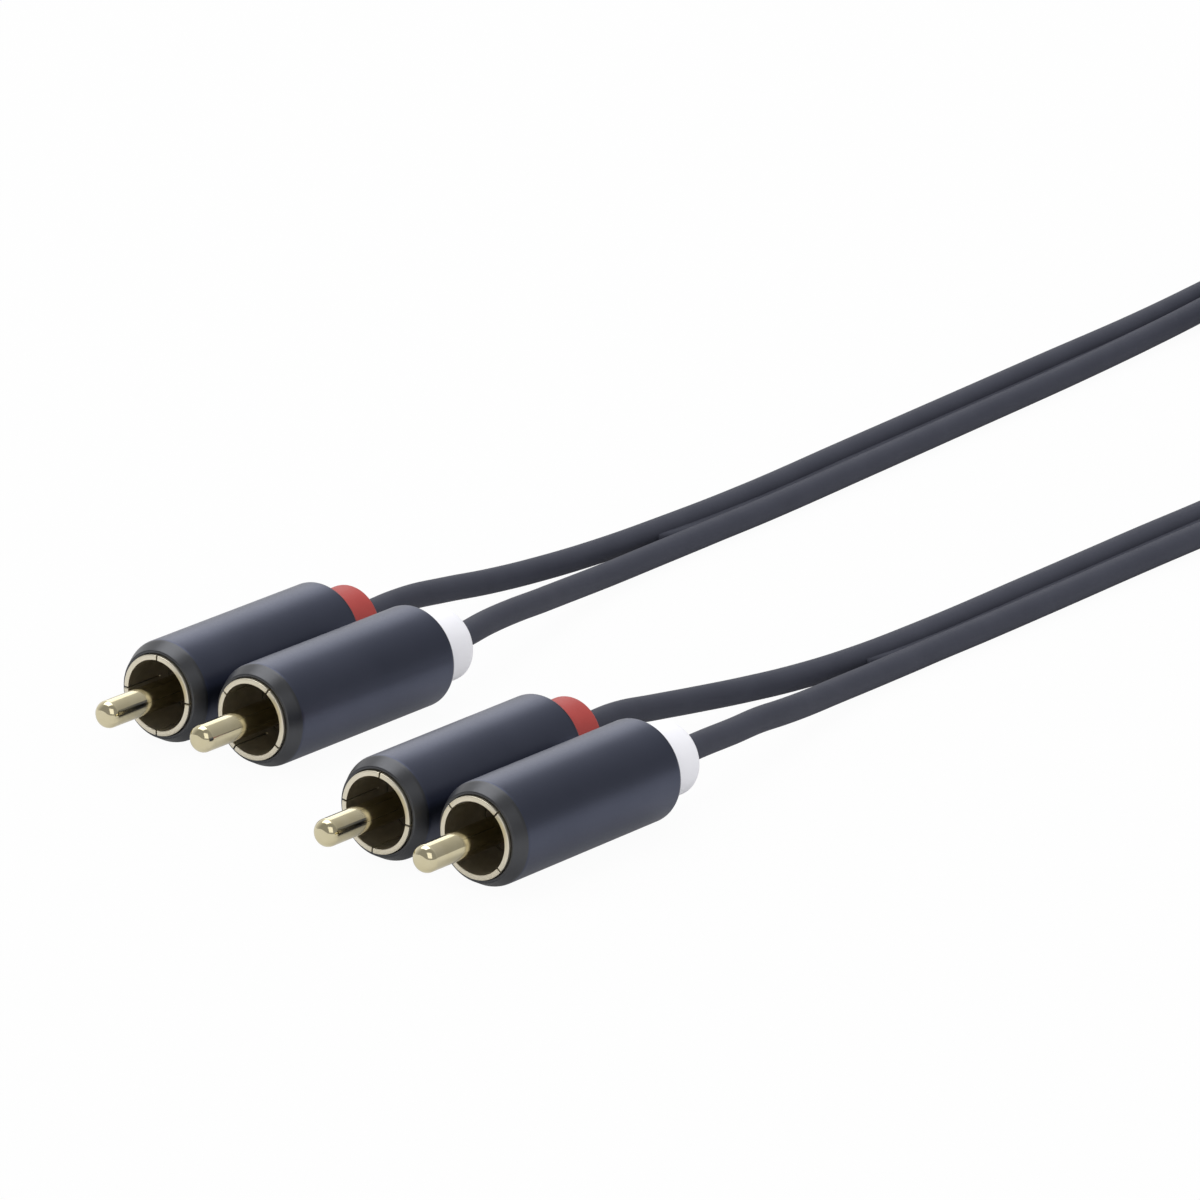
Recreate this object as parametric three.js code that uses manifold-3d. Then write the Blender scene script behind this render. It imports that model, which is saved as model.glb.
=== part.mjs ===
// A stereo audio cable with two phono plugs at each end, in millimetres.
// +Z is up and the plugs lie on z = 0. The pins point along -X and the leads leave along +X.
// The origin is on the floor, under the middle of the box round the four plugs.

import * as THREE from "three";
import * as BufferGeometryUtils from "three/addons/utils/BufferGeometryUtils.js";
import Module from "manifold-3d";

const wasm = await Module();
wasm.setup();

// The gap that pieces keep where the real ones touch.
const CLEARANCE = 0.3;

// The metal barrel of a plug. Distances along a plug are counted back from its mouth.
const BARREL_RADIUS = 6;
const BARREL_LENGTH = 29;
const BARREL_FRONT = 0.4;
const FRONT_CONE_LENGTH = 1.6;
const FRONT_LIP_WIDTH = 0.12;
const REAR_ROUNDING = 0.7;

// The slotted outer contact, its rear flange and the soldering tail behind it.
const CONTACT_RADIUS = 4.75;
const CONTACT_WALL = 0.6;
const CONTACT_LENGTH = 14;
const SLOT_COUNT = 4;
const SLOT_WIDTH = 0.4;
const SLOT_LENGTH = 5.6;
const RIM_ROUNDING = 0.15;
const FLANGE_THICKNESS = 1;
const FLANGE_HOLE_RADIUS = 2.9;
const TAIL_THICKNESS = 0.4;
const TAIL_WIDTH = 2.4;
const TAIL_STRAIGHT = 2;
const TAIL_SLOPE = 3;
const CRIMP_LENGTH = 4;
const CRIMP_TO_NECK = 1.3;
const CRIMP_OPENING = THREE.MathUtils.degToRad(60);

// The centre pin and the insulator that carries it.
const PIN_RADIUS = 1.6;
const PIN_REACH = 9.4;
const PIN_TIP_LENGTH = 1.2;
const PIN_TIP_FLAT = 0.45;
const PIN_FLANGE_RADIUS = 2.2;
const PIN_FLANGE_THICKNESS = 0.8;
const PIN_BEHIND_INSULATOR = 3;
const SOLDER_CUP_RADIUS = 1.1;
const SOLDER_CUP_DEPTH = 2.6;
const INSULATOR_FRONT = 6.5;
const INSULATOR_BOSS_RADIUS = 2.6;
const INSULATOR_BOSS_HEIGHT = 0.6;

// The coloured sleeve behind the barrel and the end of the lead inside it.
const SLEEVE_RADIUS = 4.3;
const SLEEVE_LENGTH = 5.4;
const SLEEVE_NECK_RADIUS = 3.6;
const SLEEVE_NECK_LENGTH = 3.4;
const SLEEVE_ROUNDING = 0.9;
const LEAD_RADIUS = 1.5;
const CORE_RADIUS = 0.75;
const JACKET_TO_CRIMP = 1;
const LEAD_ENTRY = 1.4;

// Where the plugs lie. Each pair is centred between its two axes.
const PLUG_PITCH = 13.8;
const END_A = { x: -0.9, y: 6.2 };
const END_B = { x: -17, y: -38.7 };

// The coil of the spare length: its turns lie on each other, the two leads side by side.
const COIL_CENTRE = { x: 240, y: -9 };
const COIL_RADIUS = 30;
const COIL_LAYERS = 3;
const LEAD_SPACING = 3.2;
const LAYER_GAP = 0.1;
const COIL_ROUNDING = 1.2;
const TIE_THICKNESS = 0.6;
const TIE_WIDTH = 5;
const TIE_ABOVE_FLOOR = 0.05;
const TIE_ANGLES = [THREE.MathUtils.degToRad(20), THREE.MathUtils.degToRad(160)];

const BARREL_SIDES = 36;
const CONTACT_SIDES = 28;
const SLEEVE_SIDES = 28;
const INSULATOR_SIDES = 20;
const PIN_SIDES = 16;
const CORE_SIDES = 12;
const LEAD_SIDES = 8;
const LEAD_STEPS = 20;
const COIL_SIDES = 48;

// Sizes that follow from the ones above.
const barrelRear = BARREL_FRONT + BARREL_LENGTH;
const mouthRadius = CONTACT_RADIUS + CLEARANCE;
const rearBoreRadius = SLEEVE_NECK_RADIUS + CLEARANCE;
const shoulder = CONTACT_LENGTH + CLEARANCE;
const contactBore = CONTACT_RADIUS - CONTACT_WALL;
const flangeFront = CONTACT_LENGTH - FLANGE_THICKNESS;
const insulatorRear = flangeFront - CLEARANCE;
const pinFlange = insulatorRear + CLEARANCE;
const pinRear = pinFlange + PIN_BEHIND_INSULATOR;
const sleeveFront = barrelRear + CLEARANCE;
const neckFront = sleeveFront - SLEEVE_NECK_LENGTH;
const crimpEnd = neckFront - CRIMP_TO_NECK;
const crimpStart = crimpEnd - CRIMP_LENGTH;
const jacketStart = crimpStart - JACKET_TO_CRIMP;
const sleeveRear = sleeveFront + SLEEVE_LENGTH;
const sleeveBore = LEAD_RADIUS + CLEARANCE;
const leadStart = sleeveRear - LEAD_ENTRY;
const coilBottom = TIE_ABOVE_FLOOR + TIE_THICKNESS + CLEARANCE;
const coilHeight = COIL_LAYERS * 2 * LEAD_RADIUS + (COIL_LAYERS - 1) * LAYER_GAP;
const coilHalfWidth = LEAD_SPACING / 2 + LEAD_RADIUS;

const plain = (color, roughness, metalness) =>
  new THREE.MeshStandardMaterial({ color, roughness, metalness });

const materials = {
  barrel: plain(0x3a3c46, 0.45, 0.6),
  gold: plain(0xc4b478, 0.3, 1),
  insulator: plain(0x1a1613, 0.6, 0),
  red: plain(0xb4443c, 0.5, 0),
  white: plain(0xeeeef2, 0.5, 0),
  lead: plain(0x33353e, 0.6, 0),
  core: plain(0xd8d2c4, 0.6, 0),
  tie: plain(0x1c1c1e, 0.8, 0),
};

// Six times the volume that a triangle adds, signed by the way that it faces.
function signedVolume(position, index) {
  const [a, b, c] = [new THREE.Vector3(), new THREE.Vector3(), new THREE.Vector3()];
  let sum = 0;
  for (let i = 0; i < index.length; i += 3) {
    a.fromBufferAttribute(position, index[i]);
    b.fromBufferAttribute(position, index[i + 1]);
    c.fromBufferAttribute(position, index[i + 2]);
    sum += a.dot(b.cross(c));
  }
  return sum;
}

// The same surface with shared corners, no empty triangles and its faces pointing out.
function closed(geometry) {
  const bare = geometry.clone();
  bare.deleteAttribute("normal");
  bare.deleteAttribute("uv");
  const merged = BufferGeometryUtils.mergeVertices(bare, 1e-4);
  const old = merged.index.array;
  const kept = [];
  for (let i = 0; i < old.length; i += 3) {
    const [a, b, c] = [old[i], old[i + 1], old[i + 2]];
    if (a !== b && b !== c && c !== a) kept.push(a, b, c);
  }
  if (signedVolume(merged.attributes.position, kept) < 0) kept.reverse();
  merged.setIndex(kept);
  return merged;
}

function toSolid(geometry) {
  const { attributes, index } = closed(geometry);
  const vertProperties = new Float32Array(attributes.position.array);
  const triVerts = new Uint32Array(index.array);
  return new wasm.Manifold(new wasm.Mesh({ numProp: 3, vertProperties, triVerts }));
}

function toGeometry(solid) {
  const { vertProperties, triVerts } = solid.getMesh();
  const geometry = new THREE.BufferGeometry();
  geometry.setAttribute("position", new THREE.BufferAttribute(vertProperties, 3));
  geometry.setIndex(new THREE.BufferAttribute(triVerts, 1));
  return geometry;
}

// A profile of [distance back from the mouth, radius] pairs, turned about the plug's axis.
function turned(profile, sides) {
  const points = profile.map(([along, radius]) => new THREE.Vector2(radius, along));
  return closed(new THREE.LatheGeometry(points, sides).rotateZ(-Math.PI / 2));
}

// A ring's profile ends where it starts.
const turnedRing = (profile, sides) => turned([...profile, profile[0]], sides);

// A shape drawn in (-z, y) and pushed along X.
function pushedAlongX(shape, from, length, curveSegments = 8) {
  const options = { depth: length, bevelEnabled: false, curveSegments };
  const geometry = new THREE.ExtrudeGeometry(shape, options);
  return geometry.rotateY(Math.PI / 2).translate(from, 0, 0);
}

// A rear edge rounded from the side to the rear face.
function roundedEdge(rear, radius, rounding) {
  return [0, 30, 60, 90].map((degrees) => {
    const angle = THREE.MathUtils.degToRad(degrees);
    return [
      rear - rounding * (1 - Math.sin(angle)),
      radius - rounding * (1 - Math.cos(angle)),
    ];
  });
}

function barrelGeometry() {
  const coneEnd = BARREL_FRONT + FRONT_CONE_LENGTH;
  const profile = [
    [BARREL_FRONT, mouthRadius],
    [BARREL_FRONT, mouthRadius + FRONT_LIP_WIDTH],
    [coneEnd, BARREL_RADIUS],
    ...roundedEdge(barrelRear, BARREL_RADIUS, REAR_ROUNDING),
    [barrelRear, rearBoreRadius],
    [shoulder, rearBoreRadius],
    [shoulder, mouthRadius],
  ];
  return turnedRing(profile, BARREL_SIDES);
}

// The sprung contact: a thin tube with a rounded rim and a flange at its rear.
function contactTube() {
  const profile = [
    [RIM_ROUNDING, contactBore],
    [0, contactBore + RIM_ROUNDING],
    [0, CONTACT_RADIUS - RIM_ROUNDING],
    [RIM_ROUNDING, CONTACT_RADIUS],
    [CONTACT_LENGTH, CONTACT_RADIUS],
    [CONTACT_LENGTH, FLANGE_HOLE_RADIUS],
    [flangeFront, FLANGE_HOLE_RADIUS],
    [flangeFront, contactBore],
  ];
  return toSolid(turnedRing(profile, CONTACT_SIDES));
}

// The slots part the tube's front into spring fingers, each cut through one wall.
function slotCutters() {
  const reach = 2 * CONTACT_RADIUS;
  const start = -SLOT_WIDTH;
  const length = SLOT_LENGTH - start;
  return Array.from({ length: SLOT_COUNT }, (_, i) => {
    const box = new THREE.BoxGeometry(length, SLOT_WIDTH, reach);
    box.translate(start + length / 2, 0, reach / 2);
    return toSolid(box.rotateX((i * 2 * Math.PI) / SLOT_COUNT));
  });
}

// The tail runs back from the flange, steps in and lies under the lead's jacket.
function tailStrip() {
  const low = -FLANGE_HOLE_RADIUS - TAIL_THICKNESS;
  const high = -sleeveBore - TAIL_THICKNESS;
  const bend = CONTACT_LENGTH + TAIL_STRAIGHT;
  const outline = [
    [flangeFront, low],
    [bend, low],
    [bend + TAIL_SLOPE, high],
    [crimpEnd, high],
    [crimpEnd, high + TAIL_THICKNESS],
    [bend + TAIL_SLOPE, high + TAIL_THICKNESS],
    [bend, low + TAIL_THICKNESS],
    [flangeFront, low + TAIL_THICKNESS],
  ];
  const shape = new THREE.Shape(outline.map(([x, z]) => new THREE.Vector2(x, z)));
  const strip = new THREE.ExtrudeGeometry(shape, { depth: TAIL_WIDTH, bevelEnabled: false });
  return toSolid(strip.rotateX(Math.PI / 2).translate(0, TAIL_WIDTH / 2, 0));
}

// The crimp at the tail's end closes round the jacket, open at the top.
function crimpBand() {
  const start = Math.PI + CRIMP_OPENING / 2;
  const end = Math.PI - CRIMP_OPENING / 2;
  const outer = sleeveBore + TAIL_THICKNESS;
  const shape = new THREE.Shape();
  shape.absarc(0, 0, outer, start, end + 2 * Math.PI, false);
  shape.absarc(0, 0, sleeveBore, end, start, true);
  return toSolid(pushedAlongX(shape, crimpStart, CRIMP_LENGTH));
}

function contactGeometry() {
  let solid = contactTube();
  for (const cutter of slotCutters()) solid = solid.subtract(cutter);
  return toGeometry(solid.add(tailStrip()).add(crimpBand()));
}

function insulatorGeometry() {
  const face = INSULATOR_FRONT + INSULATOR_BOSS_HEIGHT;
  const bore = PIN_RADIUS + CLEARANCE;
  const profile = [
    [INSULATOR_FRONT, bore],
    [INSULATOR_FRONT, INSULATOR_BOSS_RADIUS],
    [face, INSULATOR_BOSS_RADIUS],
    [face, contactBore - CLEARANCE],
    [insulatorRear, contactBore - CLEARANCE],
    [insulatorRear, bore],
  ];
  return turnedRing(profile, INSULATOR_SIDES);
}

// The pin has a rounded tip, a flange behind the insulator and a cup for the core.
function pinGeometry() {
  const tipStart = -PIN_REACH + PIN_TIP_LENGTH;
  const tip = [0, 30, 60].map((degrees) => {
    const angle = THREE.MathUtils.degToRad(degrees);
    const bulge = PIN_RADIUS - PIN_TIP_FLAT;
    return [tipStart - PIN_TIP_LENGTH * Math.cos(angle), PIN_TIP_FLAT + bulge * Math.sin(angle)];
  });
  const profile = [
    [-PIN_REACH, 0],
    ...tip,
    [tipStart, PIN_RADIUS],
    [pinFlange, PIN_RADIUS],
    [pinFlange, PIN_FLANGE_RADIUS],
    [pinFlange + PIN_FLANGE_THICKNESS, PIN_FLANGE_RADIUS],
    [pinFlange + PIN_FLANGE_THICKNESS, PIN_RADIUS],
    [pinRear, PIN_RADIUS],
    [pinRear, SOLDER_CUP_RADIUS],
    [pinRear - SOLDER_CUP_DEPTH, SOLDER_CUP_RADIUS],
    [pinRear - SOLDER_CUP_DEPTH, 0],
  ];
  return turned(profile, PIN_SIDES);
}

// The sleeve's neck sits in the barrel, and its rear edge is rounded.
function sleeveGeometry() {
  const profile = [
    [neckFront, sleeveBore],
    [neckFront, SLEEVE_NECK_RADIUS],
    [sleeveFront, SLEEVE_NECK_RADIUS],
    [sleeveFront, SLEEVE_RADIUS],
    ...roundedEdge(sleeveRear, SLEEVE_RADIUS, SLEEVE_ROUNDING),
    [sleeveRear, sleeveBore],
  ];
  return turnedRing(profile, SLEEVE_SIDES);
}

// The stripped end of the lead: its core in the pin's cup and its jacket through the sleeve.
function coreGeometry() {
  const coreFront = pinRear - SOLDER_CUP_DEPTH + CLEARANCE;
  const profile = [
    [coreFront, 0],
    [coreFront, CORE_RADIUS],
    [jacketStart, CORE_RADIUS],
    [jacketStart, LEAD_RADIUS],
    [leadStart - CLEARANCE, LEAD_RADIUS],
    [leadStart - CLEARANCE, 0],
  ];
  return turned(profile, CORE_SIDES);
}

function mesh(name, geometry, material) {
  const made = new THREE.Mesh(geometry, material);
  made.name = name;
  return made;
}

// A whole plug, lying along X with its mouth at the group's origin. The contact is turned
// about the axis, since nothing lines the slots up when such a plug is put together.
function plug(name, sleeveMaterial, contactTurn) {
  const group = new THREE.Group();
  const contact = mesh(`${name}_contact`, contactGeometry(), materials.gold);
  contact.rotation.x = contactTurn;
  group.add(
    mesh(`${name}_barrel`, barrelGeometry(), materials.barrel),
    contact,
    mesh(`${name}_insulator`, insulatorGeometry(), materials.insulator),
    mesh(`${name}_pin`, pinGeometry(), materials.gold),
    mesh(`${name}_sleeve`, sleeveGeometry(), sleeveMaterial),
    mesh(`${name}_core`, coreGeometry(), materials.core),
  );
  return group;
}

const PLUGS = [
  { name: "end_a_red", end: END_A, side: 1, material: materials.red, turn: 0 },
  { name: "end_a_white", end: END_A, side: -1, material: materials.white, turn: 0.55 },
  { name: "end_b_red", end: END_B, side: 1, material: materials.red, turn: 0.1 },
  { name: "end_b_white", end: END_B, side: -1, material: materials.white, turn: 0.7 },
];

function plugs() {
  return PLUGS.map(({ name, end, side, material, turn }) => {
    const group = plug(name, material, turn);
    group.position.set(end.x, end.y + (side * PLUG_PITCH) / 2, BARREL_RADIUS);
    return group;
  });
}

// A lead from its sleeve to the coil. Its first points run straight out of the sleeve.
function lead(name, end, side, route) {
  const y = end.y + (side * PLUG_PITCH) / 2;
  const straight = [leadStart, sleeveRear + LEAD_RADIUS].map((x) => [end.x + x, y, BARREL_RADIUS]);
  const points = [...straight, ...route].map((point) => new THREE.Vector3(...point));
  const section = new THREE.Shape();
  for (let i = 0; i < LEAD_SIDES; i += 1) {
    const angle = ((i + 0.5) * 2 * Math.PI) / LEAD_SIDES;
    const corner = [LEAD_RADIUS * Math.cos(angle), LEAD_RADIUS * Math.sin(angle)];
    if (i === 0) section.moveTo(...corner);
    else section.lineTo(...corner);
  }
  const path = new THREE.CatmullRomCurve3(points, false, "centripetal");
  const options = { steps: LEAD_STEPS, extrudePath: path, bevelEnabled: false };
  return mesh(name, closed(new THREE.ExtrudeGeometry(section, options)), materials.lead);
}

// The routes start behind the sleeves, where the leads come down to the floor.
const ROUTE_A_RED = [
  [45, 14.2, 5.5],
  [53, 14.6, 4.5],
  [61, 14.5, 3.5],
  [70, 14.15, 2.8],
  [80, 13.5, 2.5],
  [92, 12.95, 2.5],
  [108, 12.9, 2.5],
  [130, 14.1, 2.5],
  [152, 15.3, 2.5],
  [175, 16.6, 2.5],
  [198, 18.2, 2.3],
  [214, 19.5, 2.45],
  [221.4, 20.2, 2.45],
];
const ROUTE_A_WHITE = [
  [44, 1.1, 5.6],
  [51, 2.7, 4.9],
  [57, 4.1, 4.1],
  [63, 5.6, 3.3],
  [69, 6.8, 2.65],
  [76, 7.95, 2.05],
  [85, 8.9, 1.65],
  [95, 9.4, 1.5],
  [108, 9.7, 1.5],
  [130, 10.9, 1.5],
  [152, 12.2, 1.5],
  [175, 13.6, 1.5],
  [198, 15.3, 1.7],
  [214, 16.6, 2.1],
  [216.4, 16.8, 2.2],
];
const ROUTE_B_RED = [
  [27, -31, 5.5],
  [34, -30.9, 4.5],
  [41, -31.2, 3.6],
  [49, -32.2, 2.9],
  [57, -33.4, 2.5],
  [66, -34.4, 2.35],
  [78, -34.9, 2.35],
  [100, -34.6, 2.35],
  [122, -34.1, 2.35],
  [145, -33.8, 2.5],
  [160, -34.9, 4.2],
  [176, -37.3, 4.8],
  [190, -39.7, 4.25],
  [205, -40.5, 6],
  [218, -40.6, 8.25],
  [225.4, -40.6, 8.6],
];
const ROUTE_B_WHITE = [
  [25, -45, 5.7],
  [31, -44.2, 5.2],
  [37, -43.2, 4.7],
  [43, -42.2, 3.9],
  [49, -41, 3.1],
  [56, -39.65, 2.35],
  [64, -38.6, 1.75],
  [74, -38.1, 1.5],
  [88, -38, 1.5],
  [100, -37.8, 1.5],
  [122, -37.3, 1.5],
  [145, -37.1, 1.5],
  [160, -36.8, 1.5],
  [176, -36.5, 1.55],
  [190, -36.8, 2.55],
  [205, -37.2, 5.65],
  [218.8, -37.35, 8.2],
];

function leads() {
  return [
    lead("lead_a_red", END_A, 1, ROUTE_A_RED),
    lead("lead_a_white", END_A, -1, ROUTE_A_WHITE),
    lead("lead_b_red", END_B, 1, ROUTE_B_RED),
    lead("lead_b_white", END_B, -1, ROUTE_B_WHITE),
  ];
}

// The outer shape of the coiled leads, a ring with rounded edges about a vertical axis.
function coil() {
  const inner = COIL_RADIUS - coilHalfWidth;
  const outer = COIL_RADIUS + coilHalfWidth;
  const profile = [
    [inner, COIL_ROUNDING],
    [inner + COIL_ROUNDING, 0],
    [outer - COIL_ROUNDING, 0],
    [outer, COIL_ROUNDING],
    [outer, coilHeight - COIL_ROUNDING],
    [outer - COIL_ROUNDING, coilHeight],
    [inner + COIL_ROUNDING, coilHeight],
    [inner, coilHeight - COIL_ROUNDING],
    [inner, COIL_ROUNDING],
  ];
  const points = profile.map(([radius, height]) => new THREE.Vector2(radius, height));
  const ring = new THREE.LatheGeometry(points, COIL_SIDES).rotateX(Math.PI / 2);
  const made = mesh("coil", closed(ring), materials.lead);
  made.position.set(COIL_CENTRE.x, COIL_CENTRE.y, coilBottom);
  return made;
}

// A flat strap closed round the coil's section, drawn in (across, up).
function tie(name, angle) {
  const halfWidth = coilHalfWidth + CLEARANCE;
  const halfHeight = coilHeight / 2 + CLEARANCE;
  const loop = (grow) => [
    [-halfWidth - grow, -halfHeight - grow],
    [halfWidth + grow, -halfHeight - grow],
    [halfWidth + grow, halfHeight + grow],
    [-halfWidth - grow, halfHeight + grow],
  ];
  const toPoints = (corners) => corners.map(([x, y]) => new THREE.Vector2(x, y));
  const shape = new THREE.Shape(toPoints(loop(TIE_THICKNESS)));
  shape.holes.push(new THREE.Path(toPoints(loop(0))));
  const strap = new THREE.ExtrudeGeometry(shape, { depth: TIE_WIDTH, bevelEnabled: false });
  strap.translate(0, 0, -TIE_WIDTH / 2).rotateX(Math.PI / 2);
  const made = mesh(name, closed(strap), materials.tie);
  made.rotation.z = angle;
  made.position.set(
    COIL_CENTRE.x + COIL_RADIUS * Math.cos(angle),
    COIL_CENTRE.y + COIL_RADIUS * Math.sin(angle),
    coilBottom + coilHeight / 2,
  );
  return made;
}

// The plugs' box in plan, from the pin tips of end B to the sleeves of end A.
function planCentre() {
  const lowX = Math.min(END_A.x, END_B.x) - PIN_REACH;
  const highX = Math.max(END_A.x, END_B.x) + sleeveRear;
  const reach = PLUG_PITCH / 2 + BARREL_RADIUS;
  const lowY = Math.min(END_A.y, END_B.y) - reach;
  const highY = Math.max(END_A.y, END_B.y) + reach;
  return new THREE.Vector3((lowX + highX) / 2, (lowY + highY) / 2, 0);
}

const cable = new THREE.Group();
cable.add(...plugs(), ...leads(), coil());
TIE_ANGLES.forEach((angle, i) => cable.add(tie(`tie_${i + 1}`, angle)));
cable.position.sub(planCentre());

export default cable;
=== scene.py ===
# %% [markdown]
# # A stereo audio cable
#
# Two thin leads run side by side and end in two metal phono plugs at each end. The solid model
# gives the sizes and the places. Here the leads, the pieces of the plugs and the straps are
# modelled again in finer detail and dressed. Only the cores of the leads stay as they come.

# %% Load the solid model
import math

import bmesh
import bpy
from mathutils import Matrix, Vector


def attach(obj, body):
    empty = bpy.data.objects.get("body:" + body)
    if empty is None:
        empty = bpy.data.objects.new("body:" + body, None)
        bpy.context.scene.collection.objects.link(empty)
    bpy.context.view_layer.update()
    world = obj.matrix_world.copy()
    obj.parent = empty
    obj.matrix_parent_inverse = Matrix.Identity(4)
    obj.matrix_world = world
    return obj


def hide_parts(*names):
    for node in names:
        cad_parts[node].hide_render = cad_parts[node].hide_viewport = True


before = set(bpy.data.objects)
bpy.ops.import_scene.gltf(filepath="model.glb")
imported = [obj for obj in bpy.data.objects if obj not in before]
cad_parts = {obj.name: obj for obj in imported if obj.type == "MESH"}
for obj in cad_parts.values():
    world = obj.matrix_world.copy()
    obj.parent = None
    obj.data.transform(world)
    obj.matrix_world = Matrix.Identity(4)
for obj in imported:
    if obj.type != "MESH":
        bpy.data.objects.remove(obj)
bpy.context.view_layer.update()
print("nodes:", len(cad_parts))

# %% [markdown]
# ## Colours and nodes
#
# Blender mixes light in linear values, while the eye and a colour picker use sRGB ones. One
# function turns a hex colour into the linear numbers that a shader wants, by the curve of the
# sRGB standard. A second one adds a node, sets it up and links it, so that each material below
# reads as a short recipe. A third one starts a material with an empty recipe.


# %% Three helpers
def linear(hex_colour):
    channels = [int(hex_colour[i : i + 2], 16) / 255 for i in (1, 3, 5)]
    curved = [c / 12.92 if c <= 0.04045 else ((c + 0.055) / 1.055) ** 2.4 for c in channels]
    return (*curved, 1.0)


def add_node(tree, kind, inputs=None, **settings):
    node = tree.nodes.new(kind)
    for name, value in settings.items():
        setattr(node, name, value)
    for socket, value in (inputs or {}).items():
        if isinstance(value, bpy.types.NodeSocket):
            tree.links.new(value, node.inputs[socket])
        else:
            node.inputs[socket].default_value = value
    return node


def new_material(name):
    material = bpy.data.materials.new(name)
    material.use_nodes = True
    tree = material.node_tree
    tree.nodes.clear()
    return material, tree


print("half grey in linear values:", [round(c, 3) for c in linear("#808080")])

# %% [markdown]
# ## The camera
#
# The plugs look small and hardly converge, so the picture was taken from far off with a long
# lens. A point between the plugs and the far end of the leads is in the middle of the view. The
# camera looks down on the table by 18 degrees, and across the plugs from the side of the pins.

# %% Place the camera
MM = 0.001
VIEW_TARGET = Vector((68.0, 22.8, 0.0)) * MM
VIEW_DISTANCE = 1.3
VIEW_DOWN = math.radians(18.0)
VIEW_TURN = math.radians(38.0)
LENS_MM = 332.3
SENSOR_MM = 36.0

flat = math.cos(VIEW_DOWN)
looking = Vector(
    (flat * math.cos(VIEW_TURN), flat * math.sin(VIEW_TURN), -math.sin(VIEW_DOWN))
)
camera_data = bpy.data.cameras.new("camera")
camera_data.lens = LENS_MM
camera_data.sensor_width = SENSOR_MM
camera = bpy.data.objects.new("camera", camera_data)
camera.location = VIEW_TARGET - VIEW_DISTANCE * looking
camera.rotation_euler = looking.to_track_quat("-Z", "Y").to_euler()
bpy.context.collection.objects.link(camera)
bpy.context.scene.camera = camera
print("camera at", [round(c, 3) for c in camera.location])

# %% [markdown]
# ## The route of the leads
#
# A lead leaves its sleeve straight, comes down to the table under its own weight, and joins its
# neighbour. The route is a list of given points, in millimetres from the mouth of one
# plug. The spare length makes a neat coil, and a loop works out the points of its turns.

# %% Sizes of the leads and the coil
PLAN_SHIFT = Vector((-3.9, 16.25, 0.0))
LEAD_RADIUS = 1.5
LEAD_SPACING = 3.2
LEAD_START = 33.7
SLEEVE_REAR = 35.1
PLUG_HEIGHT = 6.0
PLUG_PITCH = 13.8
END_A = (-0.9, 6.2)
END_B = (-17.0, -38.7)

COIL_CENTRE = (240.0, -9.0)
COIL_RADIUS = 30.0
COIL_TURNS = 2.5
COIL_BOTTOM = 0.95
LAYER_GAP = 0.1
TURN_HEIGHT = 2 * LEAD_RADIUS + LAYER_GAP
POINTS_A_TURN = 24
CLIMB_START = 0.6
CLIMB_LENGTH = 0.25
print("the pair of leads is", LEAD_SPACING + 2 * LEAD_RADIUS, "mm wide")

# %% The given points
ROUTE_A_RED = [
    (45, 14.2, 5.5),
    (53, 14.6, 4.5),
    (61, 14.5, 3.5),
    (70, 14.15, 2.8),
    (80, 13.5, 2.5),
    (92, 12.95, 2.5),
    (108, 12.9, 2.5),
    (130, 14.1, 2.5),
    (152, 15.3, 2.5),
    (175, 16.6, 2.5),
    (198, 18.2, 2.3),
    (214, 19.5, 2.45),
]
ROUTE_A_WHITE = [
    (44, 1.1, 5.6),
    (51, 2.7, 4.9),
    (57, 4.1, 4.1),
    (63, 5.6, 3.3),
    (69, 6.8, 2.65),
    (76, 7.95, 2.05),
    (85, 8.9, 1.65),
    (95, 9.4, 1.5),
    (108, 9.7, 1.5),
    (130, 10.9, 1.5),
    (152, 12.2, 1.5),
    (175, 13.6, 1.5),
    (198, 15.3, 1.7),
    (214, 16.6, 2.1),
]
ROUTE_B_RED = [
    (27, -31, 5.5),
    (34, -30.9, 4.5),
    (41, -31.2, 3.6),
    (49, -32.2, 2.9),
    (57, -33.4, 2.5),
    (66, -34.4, 2.35),
    (78, -34.9, 2.35),
    (100, -34.6, 2.35),
    (122, -34.1, 2.35),
    (145, -33.8, 2.5),
    (160, -34.9, 4.2),
    (176, -37.3, 4.8),
    (190, -39.7, 4.25),
    (205, -40.5, 6),
    (218, -40.6, 8.25),
    (225.4, -40.6, 8.6),
]
ROUTE_B_WHITE = [
    (25, -45, 5.7),
    (31, -44.2, 5.2),
    (37, -43.2, 4.7),
    (43, -42.2, 3.9),
    (49, -41, 3.1),
    (56, -39.65, 2.35),
    (64, -38.6, 1.75),
    (74, -38.1, 1.5),
    (88, -38, 1.5),
    (100, -37.8, 1.5),
    (122, -37.3, 1.5),
    (145, -37.1, 1.5),
    (160, -36.8, 1.5),
    (176, -36.5, 1.55),
    (190, -36.8, 2.55),
    (205, -37.2, 5.65),
    (218.8, -37.35, 8.2),
]


# %% Work out the coil and join the whole route
def leaving(end, side):
    """The straight start of a lead, from inside its sleeve."""
    y = end[1] + side * PLUG_PITCH / 2
    return [(end[0] + x, y, PLUG_HEIGHT) for x in (LEAD_START, SLEEVE_REAR + LEAD_RADIUS)]


def climb(turn):
    """How many layers up the lead is after so many turns. Each turn has one short climb."""
    layer, part = divmod(turn, 1.0)
    share = min(max((part - CLIMB_START) / CLIMB_LENGTH, 0.0), 1.0)
    return layer + share * share * (3 - 2 * share)


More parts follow.
